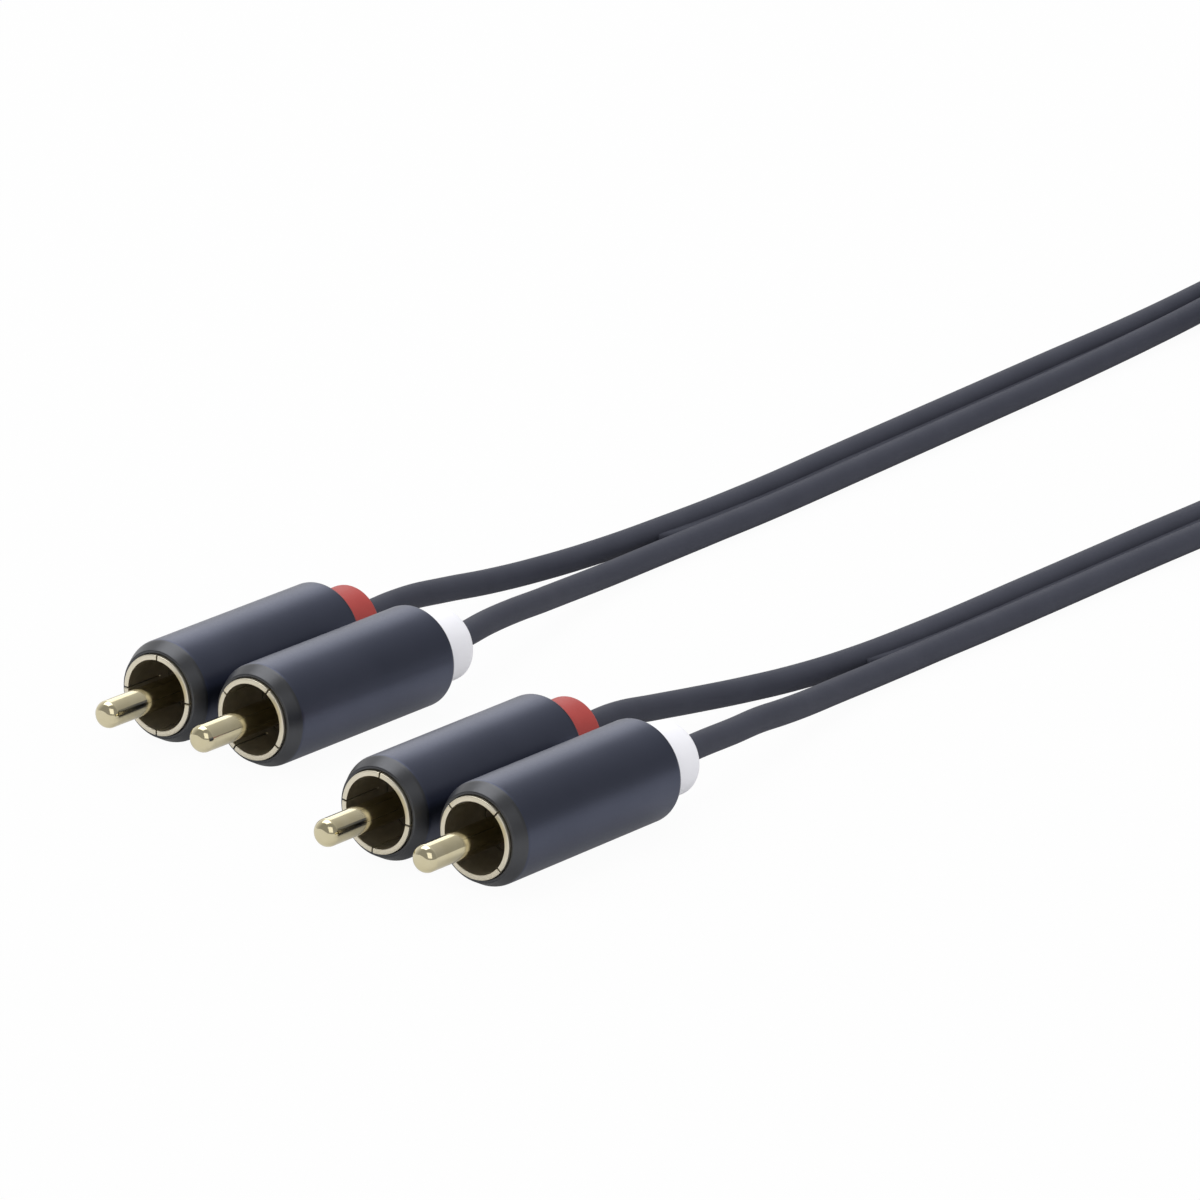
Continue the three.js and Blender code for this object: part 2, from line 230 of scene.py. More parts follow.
def coil_points(radius):
    """The turns run clockwise, from the far side of the coil to its near side."""
    count = round(COIL_TURNS * POINTS_A_TURN)
    points = []
    for i in range(count + 1):
        turn = i / POINTS_A_TURN
        angle = math.pi / 2 - 2 * math.pi * turn
        x = COIL_CENTRE[0] + radius * math.cos(angle)
        y = COIL_CENTRE[1] + radius * math.sin(angle)
        points.append((x, y, COIL_BOTTOM + LEAD_RADIUS + TURN_HEIGHT * climb(turn)))
    return points


def whole_route(side, from_a, from_b):
    radius = COIL_RADIUS + side * LEAD_SPACING / 2
    start = leaving(END_A, side) + from_a
    end = leaving(END_B, side) + from_b
    points = start + coil_points(radius) + end[::-1]
    return [(Vector(p) + PLAN_SHIFT) * MM for p in points]


red_route = whole_route(1, ROUTE_A_RED, ROUTE_B_RED)
white_route = whole_route(-1, ROUTE_A_WHITE, ROUTE_B_WHITE)
print("points in each lead:", len(red_route), len(white_route))

# %% [markdown]
# ## The two leads
#
# A lead is round and even all along, so a curve with a round bevel is the right form: it keeps
# its thickness in every bend, and its length can be measured. Automatic handles give one smooth
# line through the points. A handle that they put too low is lifted, because a curve stays above
# the lowest of its points and handles, and so the lead never dips into the table. The bevel is
# one metre deep and each point's radius scales it down to the lead's, because Blender adds those
# radii to the curve's box.

# %% Draw a smooth lead
STEPS_BETWEEN_POINTS = 10
ROUNDNESS = 5


def lift_handles(spline):
    for point in spline.bezier_points:
        point.handle_left_type = "FREE"
        point.handle_right_type = "FREE"
        point.handle_left.z = max(point.handle_left.z, LEAD_RADIUS * MM)
        point.handle_right.z = max(point.handle_right.z, LEAD_RADIUS * MM)


def make_lead(name, route):
    data = bpy.data.curves.new(name, "CURVE")
    data.dimensions = "3D"
    data.resolution_u = STEPS_BETWEEN_POINTS
    data.bevel_depth = 1.0
    data.bevel_resolution = ROUNDNESS
    data.use_fill_caps = True
    spline = data.splines.new("BEZIER")
    spline.bezier_points.add(len(route) - 1)
    for point, place in zip(spline.bezier_points, route):
        point.co = place
        point.radius = LEAD_RADIUS * MM
        point.handle_left_type = "AUTO"
        point.handle_right_type = "AUTO"
    lift_handles(spline)
    lead = bpy.data.objects.new(name, data)
    bpy.context.collection.objects.link(lead)
    return lead


# %% Make both leads and measure them
def length_of(route):
    return sum((b - a).length for a, b in zip(route, route[1:]))


red_lead = make_lead("red_lead", red_route)
white_lead = make_lead("white_lead", white_route)
for lead, route in ((red_lead, red_route), (white_lead, white_route)):
    print(lead.name, "is", round(length_of(route), 3), "m long")


# %% [markdown]
# ## The web between the leads
#
# Such a pair is made in one go, with a thin web that holds the two jackets side by side, and it
# is torn apart near the plugs. A strip is stretched from one centre line to the other, from the
# place where the leads have come together to the place where they part, and gets a thickness.
# At both ends it narrows towards the first lead, as the rest of a torn web does.

# %% Find the centre lines
TOGETHER = 4.0
LOOK_BACK = 2
LOOK_AHEAD = 30


def centre_line(lead):
    """The smooth line that a lead follows, as a list of points."""
    line = bpy.data.objects.new("line", lead.data.copy())
    line.data.bevel_depth = 0
    bpy.context.collection.objects.link(line)
    bpy.context.view_layer.update()
    evaluated = line.evaluated_get(bpy.context.evaluated_depsgraph_get())
    points = [vertex.co.copy() for vertex in evaluated.to_mesh().vertices]
    evaluated.to_mesh_clear()
    bpy.data.objects.remove(line)
    return points


def pairs_along(first, second):
    """Each point of one line with its neighbour on the other, where they run together."""
    found, last = [], 0
    for point in first:
        ahead = range(max(last - LOOK_BACK, 0), min(last + LOOK_AHEAD, len(second)))
        last = min(ahead, key=lambda i: (second[i] - point).length)
        found.append((point, second[last], (second[last] - point).length))
    close = [i for i, item in enumerate(found) if item[2] < TOGETHER * MM]
    return [item[:2] for item in found[close[0] : close[-1] + 1]]


web_pairs = pairs_along(centre_line(red_lead), centre_line(white_lead))
print("the leads run together for", len(web_pairs), "steps")

# %% Stretch the web
WEB_THICKNESS = 1.1
TORN_STEPS = 4
LEFT_AT_END = 0.45


def reach_across(i, count):
    """How far across the strip reaches at one step: all the way, except near its ends."""
    from_end = min(i, count - 1 - i, TORN_STEPS) / TORN_STEPS
    return LEFT_AT_END + (1 - LEFT_AT_END) * from_end


web_mesh = bpy.data.meshes.new("web")
web_points = []
for i, (near, far) in enumerate(web_pairs):
    web_points += [tuple(near), tuple(near.lerp(far, reach_across(i, len(web_pairs))))]
web_faces = [(i, i + 2, i + 3, i + 1) for i in range(0, len(web_points) - 2, 2)]
web_mesh.from_pydata(web_points, [], web_faces)
for face in web_mesh.polygons:
    face.use_smooth = True
web = bpy.data.objects.new("web", web_mesh)
bpy.context.collection.objects.link(web)
web_wall = web.modifiers.new("thickness", "SOLIDIFY")
web_wall.thickness = WEB_THICKNESS * MM
web_wall.offset = 0
print("web faces:", len(web_faces))

# %% [markdown]
# ## The leads take the place of the frame's tubes
#
# The frame's plain tubes and ring only keep the place of the leads. They are hidden, and the two
# curves and the web take their place now.

for lead, route, nodes, pieces in (
    (red_lead, red_route, ("lead_a_red", "lead_b_red", "coil"), (web,)),
    (white_lead, white_route, ("lead_a_white", "lead_b_white"), ()),
):
    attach(lead, "root")
    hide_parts(*nodes)
    print(lead.name, "stands for", nodes)
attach(web, "root")

# %% [markdown]
# ## Turned pieces
#
# Barrel, sleeve, insulator and pin are all round about the axis of the plug. On a lathe a tool
# follows a profile while the bar spins. Here a ring of edges takes the place of the tool: it is
# added at the first place of the profile, extruded to the next place and scaled to its radius,
# again and again. Distances are counted back from the mouth of the plug, which lies at x = 0.


# %% Extrude a ring along a profile
def only(piece):
    """Selects one object and nothing else."""
    bpy.ops.object.select_all(action="DESELECT")
    piece.select_set(True)
    bpy.context.view_layer.objects.active = piece


def turned(name, profile, sides):
    """The profile is a list of (distance back, radius) pairs. The piece is left in edit mode."""
    start, radius = profile[0]
    bpy.ops.object.select_all(action="DESELECT")
    bpy.ops.mesh.primitive_circle_add(
        vertices=sides,
        radius=radius * MM,
        location=(start * MM, 0, 0),
        rotation=(0, math.pi / 2, 0),
    )
    bpy.ops.object.transform_apply(location=True, rotation=True, scale=True)
    piece = bpy.context.object
    piece.name = name
    bpy.ops.object.mode_set(mode="EDIT")
    bpy.ops.mesh.select_all(action="SELECT")
    for (x_from, r_from), (x_to, r_to) in zip(profile, profile[1:]):
        step = ((x_to - x_from) * MM, 0, 0)
        bpy.ops.mesh.extrude_region_move(TRANSFORM_OT_translate={"value": step})
        grow = r_to / r_from
        bpy.ops.transform.resize(value=(1, grow, grow), center_override=(x_to * MM, 0, 0))
    return piece


# %% Select by place, and round an edge
SAME_PLACE = 0.01 * MM


def select_where(piece, wanted):
    """Selects the vertices of a piece in edit mode whose place is a wanted one."""
    bpy.ops.mesh.select_all(action="DESELECT")
    shape = bmesh.from_edit_mesh(piece.data)
    for vertex in shape.verts:
        vertex.select = wanted(vertex.co)
    shape.select_flush(True)
    bmesh.update_edit_mesh(piece.data)


def round_ring(piece, along, radius, width, steps):
    """Bevels the ring of edges that lies at one place of a turned piece."""

    def on_ring(place):
        away = abs(math.hypot(place.y, place.z) - radius * MM)
        return abs(place.x - along * MM) < SAME_PLACE and away < SAME_PLACE

    select_where(piece, on_ring)
    bpy.ops.mesh.bevel(offset=width * MM, segments=steps, affect="EDGES")


# %% Close, smooth and finish a turned piece
WELD = 0.002 * MM
SMOOTH_BELOW = 38


def close_ring():
    """Joins the last ring of a hollow piece to its first one."""
    bpy.ops.mesh.select_all(action="SELECT")
    bpy.ops.mesh.remove_doubles(threshold=WELD)
    bpy.ops.mesh.normals_make_consistent(inside=False)


def smoothed(piece, smooth_below=SMOOTH_BELOW):
    """Leaves edit mode and shades the piece smoothly, with its large faces kept even."""
    bpy.ops.object.mode_set(mode="OBJECT")
    only(piece)
    bpy.ops.object.shade_smooth_by_angle(angle=math.radians(smooth_below))
    piece.modifiers.new("even shading", "WEIGHTED_NORMAL").keep_sharp = True
    bpy.ops.object.modifier_apply(modifier="even shading")
    print(piece.name, "has", len(piece.data.polygons), "faces")


# %% [markdown]
# ## The barrel
#
# The barrel is a tube of aluminium, turned from bar, with a cone that leads to the mouth and a
# well rounded rear edge. It is hollow: a wide bore in front takes the contact, and a narrower
# one behind takes the neck of the sleeve.

# %% Turn the barrel
BARREL_FRONT = 0.4
BARREL_REAR = 29.4
BARREL_RADIUS = 6.0
CONE_END = 2.0
LIP_RADIUS = 5.17
MOUTH_RADIUS = 4.84
SHOULDER = 14.3
NECK_BORE = 3.66
BARREL_SIDES = 96
REAR_ROUNDING = 0.7
CONE_ROUNDING = 0.35
LIP_ROUNDING = 0.1
MOUTH_ROUNDING = 0.06

barrel = turned(
    "barrel",
    [
        (BARREL_FRONT, MOUTH_RADIUS),
        (BARREL_FRONT, LIP_RADIUS),
        (CONE_END, BARREL_RADIUS),
        (BARREL_REAR, BARREL_RADIUS),
        (BARREL_REAR, NECK_BORE),
        (SHOULDER, NECK_BORE),
        (SHOULDER, MOUTH_RADIUS),
        (BARREL_FRONT, MOUTH_RADIUS),
    ],
    BARREL_SIDES,
)
close_ring()
round_ring(barrel, BARREL_REAR, BARREL_RADIUS, REAR_ROUNDING, steps=6)
round_ring(barrel, CONE_END, BARREL_RADIUS, CONE_ROUNDING, steps=4)
round_ring(barrel, BARREL_FRONT, LIP_RADIUS, LIP_ROUNDING, steps=3)
round_ring(barrel, BARREL_FRONT, MOUTH_RADIUS, MOUTH_ROUNDING, steps=2)
round_ring(barrel, BARREL_REAR, NECK_BORE, LIP_ROUNDING, steps=2)
smoothed(barrel)

# %% [markdown]
# The cone and the front face of the barrel get a plainer, less blue grey than the rest. The faces
# of that collar are marked in an attribute, which the barrel's material reads.

# %% Mark the collar
LOOKS_FORWARD = -0.2

collar = barrel.data.attributes.new("collar", "FLOAT", "FACE")
for face in barrel.data.polygons:
    in_front = face.center.x < CONE_END * MM and face.normal.x < LOOKS_FORWARD
    collar.data[face.index].value = 1.0 if in_front else 0.0
print("faces in the collar:", sum(item.value > 0 for item in collar.data))

# %% [markdown]
# ## The sleeve
#
# A soft ring tells the two channels apart, red or white, and keeps the lead from kinking. It is
# moulded on the lead, so it fits it closely. Its outer rear edge is well rounded, and a neck
# reaches into the barrel.

# %% Turn the sleeve
SLEEVE_FRONT = 29.5
NECK_FRONT = 26.3
NECK_RADIUS = 3.6
SLEEVE_RADIUS = 4.3
SLEEVE_BORE = 1.53
SLEEVE_SIDES = 80
SLEEVE_REAR_ROUNDING = 0.9
SLEEVE_BORE_ROUNDING = 0.3
SLEEVE_FRONT_ROUNDING = 0.15

sleeve = turned(
    "sleeve",
    [
        (NECK_FRONT, SLEEVE_BORE),
        (NECK_FRONT, NECK_RADIUS),
        (SLEEVE_FRONT, NECK_RADIUS),
        (SLEEVE_FRONT, SLEEVE_RADIUS),
        (SLEEVE_REAR, SLEEVE_RADIUS),
        (SLEEVE_REAR, SLEEVE_BORE),
        (NECK_FRONT, SLEEVE_BORE),
    ],
    SLEEVE_SIDES,
)
close_ring()
round_ring(sleeve, SLEEVE_REAR, SLEEVE_RADIUS, SLEEVE_REAR_ROUNDING, steps=8)
round_ring(sleeve, SLEEVE_REAR, SLEEVE_BORE, SLEEVE_BORE_ROUNDING, steps=3)
round_ring(sleeve, SLEEVE_FRONT, SLEEVE_RADIUS, SLEEVE_FRONT_ROUNDING, steps=3)
smoothed(sleeve)

# %% [markdown]
# ## The insulator
#
# A disc of dark nylon holds the pin in the middle of the contact. It lies deep in the mouth and
# has a low boss round the pin.

# %% Turn the insulator
BOSS_FRONT = 6.5
INSULATOR_FACE = 7.1
INSULATOR_REAR = 12.7
BOSS_RADIUS = 2.6
INSULATOR_RADIUS = 4.1
PIN_BORE = 1.62
INSULATOR_SIDES = 64
BOSS_ROUNDING = 0.2
PIN_BORE_ROUNDING = 0.12
BOSS_FOOT_ROUNDING = 0.15

insulator = turned(
    "insulator",
    [
        (BOSS_FRONT, PIN_BORE),
        (BOSS_FRONT, BOSS_RADIUS),
        (INSULATOR_FACE, BOSS_RADIUS),
        (INSULATOR_FACE, INSULATOR_RADIUS),
        (INSULATOR_REAR, INSULATOR_RADIUS),
        (INSULATOR_REAR, PIN_BORE),
        (BOSS_FRONT, PIN_BORE),
    ],
    INSULATOR_SIDES,
)
close_ring()
round_ring(insulator, BOSS_FRONT, BOSS_RADIUS, BOSS_ROUNDING, steps=3)
round_ring(insulator, BOSS_FRONT, PIN_BORE, PIN_BORE_ROUNDING, steps=2)
round_ring(insulator, INSULATOR_FACE, BOSS_RADIUS, BOSS_FOOT_ROUNDING, steps=2)
smoothed(insulator)

# %% [markdown]
# ## The pin
#
# The pin carries the signal. It is turned from brass and plated with gold. The tip is rounded so
# that it finds the hole of the jack. Behind the insulator it has a flange, and its rear end is a
# cup, into which the core of the lead is soldered.

# %% Turn the pin
PIN_RADIUS = 1.6
PIN_REACH = 9.4
FLANGE_FRONT = 13.0
FLANGE_REAR = 13.8
FLANGE_RADIUS = 2.2
PIN_REAR = 16.0
CUP_RADIUS = 1.1
CUP_BOTTOM = 13.4
FLAT_AT_AXIS = 0.3
PIN_SIDES = 64
TIP_ROUNDING = 1.15
CUP_ROUNDING = 0.1

pin = turned(
    "pin",
    [
        (-PIN_REACH, FLAT_AT_AXIS),
        (-PIN_REACH, PIN_RADIUS),
        (FLANGE_FRONT, PIN_RADIUS),
        (FLANGE_FRONT, FLANGE_RADIUS),
        (FLANGE_REAR, FLANGE_RADIUS),
        (FLANGE_REAR, PIN_RADIUS),
        (PIN_REAR, PIN_RADIUS),
        (PIN_REAR, CUP_RADIUS),
        (CUP_BOTTOM, CUP_RADIUS),
        (CUP_BOTTOM, FLAT_AT_AXIS),
    ],
    PIN_SIDES,
)
bpy.ops.mesh.select_all(action="SELECT")
bpy.ops.mesh.fill_holes(sides=0)
bpy.ops.mesh.normals_make_consistent(inside=False)
round_ring(pin, -PIN_REACH, PIN_RADIUS, TIP_ROUNDING, steps=10)
round_ring(pin, PIN_REAR, PIN_RADIUS, CUP_ROUNDING, steps=2)
smoothed(pin)

# %% [markdown]
# ## The contact
#
# The outer contact is a sprung tube: four slots part its front into fingers, which grip the
# jack. A flange at its rear carries a soldering tail, and the tail ends in a crimp that holds
# the lead. The tube is turned first as a thin skin. The faces where the slots run are deleted,
# and a Solidify modifier then gives the skin its wall.

# %% Turn the tube of the contact
CONTACT_RADIUS = 4.75
CONTACT_WALL = 0.6
CONTACT_LENGTH = 14.0
FLANGE_HOLE = 2.9
SLOT_COUNT = 4
SLOT_LENGTH = 5.6
CONTACT_SIDES = 148
SIDES_A_SLOT = CONTACT_SIDES // SLOT_COUNT

contact = turned(
    "contact",
    [
        (0.0, CONTACT_RADIUS),
        (SLOT_LENGTH, CONTACT_RADIUS),
        (CONTACT_LENGTH, CONTACT_RADIUS),
        (CONTACT_LENGTH, FLANGE_HOLE),
    ],
    CONTACT_SIDES,
)
bpy.ops.mesh.select_all(action="SELECT")
bpy.ops.mesh.normals_make_consistent(inside=False)
print("a slot is", round(2 * math.pi * CONTACT_RADIUS / CONTACT_SIDES, 2), "mm wide")


# %% Cut the slots
def slot_number(angle):
    """Counts the faces round the tube. Every so many faces there is a slot."""
    return round(angle / (2 * math.pi) * CONTACT_SIDES - 0.5)


bpy.ops.mesh.select_mode(type="FACE")
bpy.ops.mesh.select_all(action="DESELECT")
skin = bmesh.from_edit_mesh(contact.data)
for face in skin.faces:
    middle = face.calc_center_median()
    angle = math.atan2(middle.z, middle.y)
    face.select = middle.x < SLOT_LENGTH * MM and slot_number(angle) % SIDES_A_SLOT == 0
print("faces that make way for the slots:", sum(face.select for face in skin.faces))
bmesh.update_edit_mesh(contact.data)
bpy.ops.mesh.delete(type="FACE")
bpy.ops.mesh.select_mode(type="VERT")
bpy.ops.object.mode_set(mode="OBJECT")

# %% Give a wall, and soften the edges
EDGE_ROUNDING = 0.12
EDGE_FROM = 50


def give_wall(piece, thickness, offset):
    """The wall lies behind the faces at offset -1, in front at 1 and on both sides at 0."""
    wall = piece.modifiers.new("wall", "SOLIDIFY")
    wall.thickness = thickness * MM
    wall.offset = offset
    bpy.ops.object.modifier_apply(modifier="wall")


def soften(piece, steps):
    """Rounds the sharp edges of a piece, those that turn by more than a set angle."""
    edges = piece.modifiers.new("soft edges", "BEVEL")
    edges.width = EDGE_ROUNDING * MM
    edges.segments = steps
    edges.limit_method = "ANGLE"
    edges.angle_limit = math.radians(EDGE_FROM)
    bpy.ops.object.modifier_apply(modifier="soft edges")


give_wall(contact, CONTACT_WALL, -1)
soften(contact, steps=3)
print("contact box:", [round(d / MM, 2) for d in contact.dimensions])

# %% [markdown]
# The tail is one flat strip of the same sheet. A plane is extruded from the flange to the lead,
# with a step on the way, and its end is opened out into the two wings of the crimp by extruding
# the strip's long edges round the jacket, a little turn at a time.

# %% Shape the tail
TAIL_WIDTH = 2.4
TAIL_THICKNESS = 0.4
TAIL_FRONT = 13.0
TAIL_STEP = 16.0
TAIL_LEVEL = 19.0
CRIMP_FRONT = 21.0
CRIMP_REAR = 25.0
CRIMP_RADIUS = 1.8
TAIL_DROP = FLANGE_HOLE - CRIMP_RADIUS

bpy.ops.object.select_all(action="DESELECT")
bpy.ops.mesh.primitive_plane_add(size=1)
tail = bpy.context.object
tail.name = "tail"
tail.scale = ((TAIL_STEP - TAIL_FRONT) * MM, TAIL_WIDTH * MM, 1)
tail.location = ((TAIL_STEP + TAIL_FRONT) / 2 * MM, 0, -FLANGE_HOLE * MM)
bpy.ops.object.transform_apply(location=True, rotation=True, scale=True)
bpy.ops.object.mode_set(mode="EDIT")


def at_rear_end(place):
    return abs(place.x - TAIL_STEP * MM) < SAME_PLACE


select_where(tail, at_rear_end)
for back, up in (
    (TAIL_LEVEL - TAIL_STEP, TAIL_DROP),
    (CRIMP_FRONT - TAIL_LEVEL, 0),
    (CRIMP_REAR - CRIMP_FRONT, 0),
):
    move = (back * MM, 0, up * MM)
    bpy.ops.mesh.extrude_region_move(TRANSFORM_OT_translate={"value": move})
print("the tail rises", round(TAIL_DROP, 2), "mm towards the lead")

# %% Wrap the crimp
WING_TURNS = 6
WING_STEP = math.radians(19)


def select_wing_edge(side):
    """Selects the outer edge of the strip's last length, on one side."""

    def on_edge(place):
        on_side = abs(place.y - side * TAIL_WIDTH / 2 * MM) < SAME_PLACE
        return on_side and place.x > CRIMP_FRONT * MM - SAME_PLACE

    select_where(tail, on_edge)


for side in (-1, 1):
    select_wing_edge(side)
    for _ in range(WING_TURNS):
        bpy.ops.mesh.extrude_region_move(TRANSFORM_OT_translate={"value": (0, 0, 0)})
        bpy.ops.transform.rotate(
            value=side * WING_STEP, orient_axis="X", center_override=(0, 0, 0)
        )
bpy.ops.mesh.select_all(action="SELECT")
bpy.ops.mesh.normals_make_consistent(inside=True)
bpy.ops.object.mode_set(mode="OBJECT")
give_wall(tail, TAIL_THICKNESS, 1)
print("tail box:", [round(d / MM, 2) for d in tail.dimensions])

# %% Join the tail to the contact
CONTACT_SMOOTH_BELOW = 30

only(contact)
tail.select_set(True)
bpy.ops.object.join()
smoothed(contact, CONTACT_SMOOTH_BELOW)

# %% [markdown]
# ## Four plugs from one set of models
#
# The four plugs are alike, so each piece was modelled once. Now it is copied to each plug, every
# copy with a mesh of its own, moved to its place and turned about its axis, and the model itself
# is removed. Nothing lines the slots of the contacts up when a plug is put together.

# %% Copy the pieces to their places
PLUGS = {
    "end_a_red": (END_A, 1, 0.0),
    "end_a_white": (END_A, -1, 0.55),
    "end_b_red": (END_B, 1, 0.1),
    "end_b_white": (END_B, -1, 0.7),
}
MODELS = {
    "barrel": barrel,
    "contact": contact,
    "insulator": insulator,
    "pin": pin,
    "sleeve": sleeve,
}

made = {}
for plug, (end, side, turn) in PLUGS.items():
    place = (Vector((end[0], end[1] + side * PLUG_PITCH / 2, PLUG_HEIGHT)) + PLAN_SHIFT) * MM
    for kind, model in MODELS.items():
        only(model)
        bpy.ops.object.duplicate(linked=False)
        copy = bpy.context.object
        copy.name = f"{plug}_{kind}_fine"
        copy.location = place
        copy.rotation_euler.x = turn
        bpy.ops.object.transform_apply(location=True, rotation=True, scale=True)
        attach(copy, "root")
        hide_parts(f"{plug}_{kind}")
        made[plug, kind] = copy
for model in MODELS.values():
    bpy.data.objects.remove(model)
print("pieces on the plugs:", len(made))

# %% [markdown]
# ## The straps
#
# Two woven straps hold the coil. Each is a flat band that goes once round the leads and ends on
# top of itself. One holds three layers of the coil and the other two, because the lowest layer
# has climbed there. The path is drawn as a curve with rounded corners, spread to the width of
# the band, made a mesh and given its thickness.

# %% How high each strap reaches
STRAP_WIDTH = 5.0
STRAP_THICKNESS = 0.6
STRAP_ANGLES = (20, 160)


def held_heights(angle):
    """How low and how high the leads lie that pass through the strap at this angle."""
    first = (math.pi / 2 - angle) / (2 * math.pi) % 1.0
    passes = [first + i for i in range(math.ceil(COIL_TURNS)) if first + i <= COIL_TURNS]
    low = COIL_BOTTOM + TURN_HEIGHT * climb(passes[0])
    high = COIL_BOTTOM + TURN_HEIGHT * climb(passes[-1]) + 2 * LEAD_RADIUS
    return low, high


for degrees in STRAP_ANGLES:
    low, high = held_heights(math.radians(degrees))
    print("a strap holds leads from", round(low, 2), "to", round(high, 2), "mm")


# %% Draw the line of a strap
SLACK = 0.3
STRAP_ROOM = SLACK + STRAP_THICKNESS / 2
STRAP_HALF_WIDTH = LEAD_SPACING / 2 + LEAD_RADIUS + STRAP_ROOM
CORNER = 1.2
CORNER_STEPS = 5
OVERLAP = 4.2
TONGUE = 0.8
RISE_FROM = 0.4
RISE_TO = -0.5
LAP_GAP = 0.03


def corner_points(x, z, first_angle):
    """A quarter turn about a point, from the first angle on."""
    turns = [first_angle + 90 * i / CORNER_STEPS for i in range(CORNER_STEPS + 1)]
    angles = [math.radians(turn) for turn in turns]
    return [(x + CORNER * math.cos(a), z + CORNER * math.sin(a)) for a in angles]


def strap_line(low, high):
    """The path of a strap: across from the middle of the coil, and up from the floor."""
    bottom, top = low - STRAP_ROOM, high + STRAP_ROOM
    side = STRAP_HALF_WIDTH - CORNER
    line = [(-OVERLAP / 2, top)]
    line += corner_points(-side, top - CORNER, 90)
    line += corner_points(-side, bottom + CORNER, 180)
    line += corner_points(side, bottom + CORNER, 270)
    line += corner_points(side, top - CORNER, 0)
    over = top + STRAP_THICKNESS + LAP_GAP
    return line + [(RISE_FROM, top), (RISE_TO, over), (-OVERLAP / 2 - TONGUE, over)]


print("a strap is", round(2 * STRAP_HALF_WIDTH + STRAP_THICKNESS, 2), "mm wide outside")


# %% Draw a strap as a curve
def drawn_strap(name, angle):
    data = bpy.data.curves.new(name, "CURVE")
    data.dimensions = "3D"
    data.extrude = STRAP_WIDTH / 2 * MM
    spline = data.splines.new("POLY")
    line = strap_line(*held_heights(angle))
    spline.points.add(len(line) - 1)
    for point, (across, up) in zip(spline.points, line):
        point.co = (across * MM, up * MM, 0, 1)
    strap = bpy.data.objects.new(name, data)
    bpy.context.collection.objects.link(strap)
    return strap


# %% Make the straps
STRAP_SMOOTH_BELOW = 45


def make_strap(name, angle):
    only(drawn_strap(name, angle))
    bpy.ops.object.convert(target="MESH")
    strap = bpy.context.object
    bpy.ops.object.mode_set(mode="EDIT")
    bpy.ops.mesh.select_all(action="SELECT")
    bpy.ops.mesh.remove_doubles(threshold=WELD)
    bpy.ops.object.mode_set(mode="OBJECT")
    give_wall(strap, STRAP_THICKNESS, 0)
    soften(strap, steps=2)
    bpy.ops.object.shade_smooth_by_angle(angle=math.radians(STRAP_SMOOTH_BELOW))
    x = COIL_CENTRE[0] + COIL_RADIUS * math.cos(angle)
    y = COIL_CENTRE[1] + COIL_RADIUS * math.sin(angle)
    strap.rotation_euler = (math.pi / 2, 0, angle)
    strap.location = (Vector((x, y, 0)) + PLAN_SHIFT) * MM
    bpy.ops.object.transform_apply(location=True, rotation=True, scale=True)
    return strap


straps = []
for number, degrees in enumerate(STRAP_ANGLES, start=1):
    strap = make_strap(f"strap_{number}", math.radians(degrees))
    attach(strap, "root")
    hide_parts(f"tie_{number}")
    straps.append(strap)
    print(strap.name, "has", len(strap.data.polygons), "faces")


# %% [markdown]
# ## Materials
#
# Every finish is a recipe of nodes. The patterns are sized in real millimetres: Object coordinates
# are in metres, so a pattern whose features are so many millimetres wide needs a scale of one
# over that size in metres. Metals and plastics share two patterns. A slow drift keeps a colour
# from being flat, and a fine grain breaks up the highlights.


# %% A slow drift of colour
def scale_for(size_mm):
    return 1 / (size_mm * MM)


def drifting_colour(tree, place, size_mm, dark, light):
    """A colour that goes slowly from a dark shade to a light one and back."""
    drift = add_node(
        tree,
        "ShaderNodeTexNoise",
        {"Vector": place, "Scale": scale_for(size_mm), "Detail": 2.0},
    )
    shade = add_node(
        tree,
        "ShaderNodeMix",
        {0: drift.outputs["Fac"], 6: linear(dark), 7: linear(light)},
        data_type="RGBA",
    )
    return shade.outputs[2]


print("a pattern of 1 mm has a scale of", round(scale_for(1)))


# %% A fine grain
def grained(tree, place, size_mm, detail, rough, relief):
    """Rough is a range of roughness, and relief a strength and a depth in millimetres."""
    grain = add_node(
        tree,
        "ShaderNodeTexNoise",
        {"Vector": place, "Scale": scale_for(size_mm), "Detail": detail},
    )
    gloss = add_node(
        tree,
        "ShaderNodeMapRange",
        {"Value": grain.outputs["Fac"], "To Min": rough[0], "To Max": rough[1]},
    )
    bumps = add_node(
        tree,
        "ShaderNodeBump",
        {"Height": grain.outputs["Fac"], "Strength": relief[0], "Distance": relief[1] * MM},
    )
    return gloss.outputs[0], bumps.outputs[0]


# %% [markdown]
# ### Anodised aluminium
#
# The barrels are blasted and then anodised dark grey with a hint of blue. The blasting leaves a
# fine grain that spreads the highlights, and the dye takes a little unevenly. The real grain is
# about 0.05 mm, too fine to show, so it is drawn at 0.3 mm and very low.

# %% Anodised aluminium
DYE_DRIFT_MM = 9
BLASTED_GRAIN_MM = 0.3

